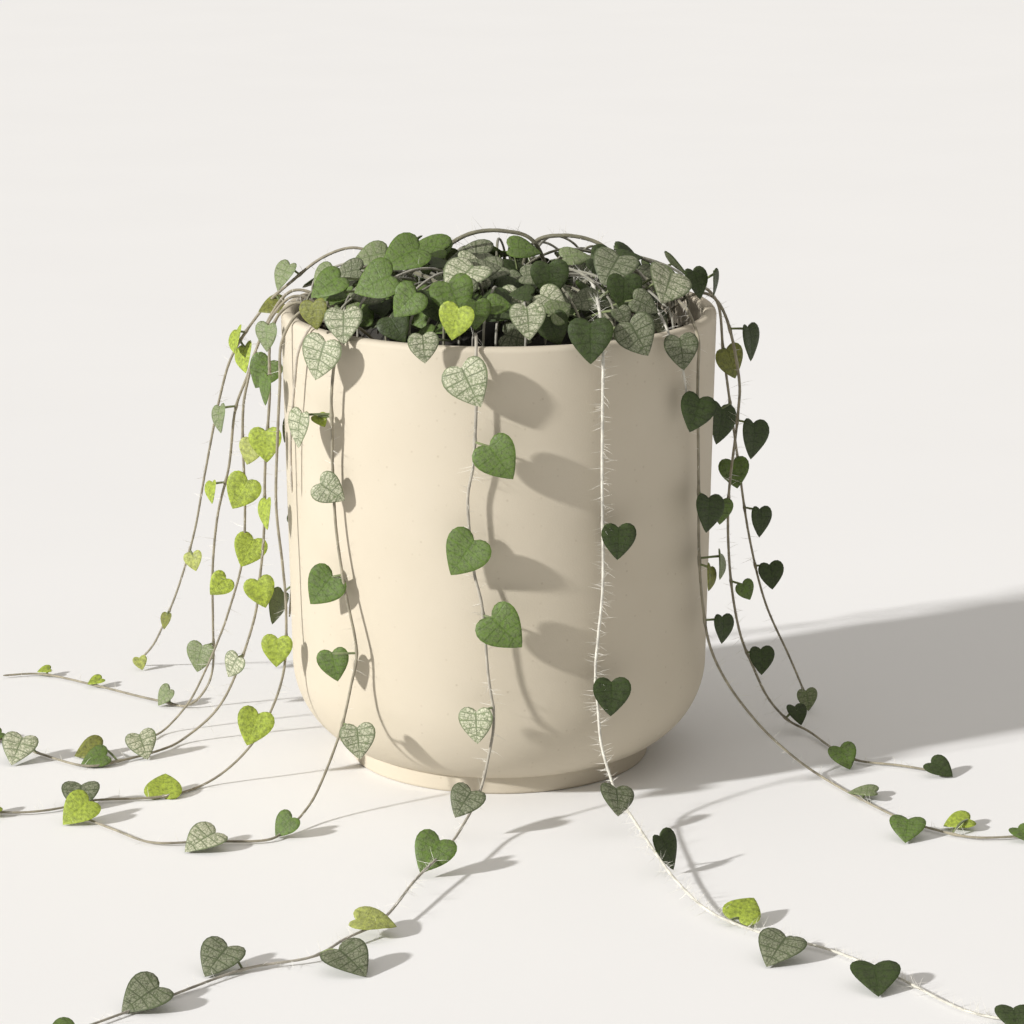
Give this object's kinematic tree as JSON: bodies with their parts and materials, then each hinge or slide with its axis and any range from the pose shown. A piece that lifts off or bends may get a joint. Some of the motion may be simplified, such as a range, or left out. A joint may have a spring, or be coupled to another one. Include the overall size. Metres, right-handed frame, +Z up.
{
  "type": "string of hearts in a pot",
  "caption": "String of hearts in a round-bottomed stoneware pot: a low leafy crown with thin heart-leaved vines that hang over the rim and trail along the surface.",
  "frame": {"origin": "centre of the pot's flat foot", "axes": "+Z up along the pot's axis, front towards -Y, +X to the right seen from the front"},
  "size_m": [0.3953, 0.4918, 0.2002],
  "materials": {
    "stoneware": "matte",
    "soil": "matte",
    "foliage": "satin",
    "vine": "satin"
  },
  "bodies": {
    "root": {"pot": "stoneware", "soil": "soil", "crown": "foliage", "vine_left_far": "vine", "vine_left_back": "vine", "vine_left_mid": "vine", "vine_left_long": "vine", "vine_left_front": "vine", "vine_left_wall": "vine", "vine_front_left": "vine", "vine_front_mid": "vine", "vine_front_right": "vine", "vine_right_short": "vine", "vine_right_front": "vine", "vine_right_back": "vine", "vine_right_mid": "vine", "vine_back_1": "vine", "vine_back_2": "vine", "vine_back_3": "vine", "vine_back_4": "vine", "vine_back_5": "vine", "vine_back_6": "vine"}
  },
  "joints": []
}
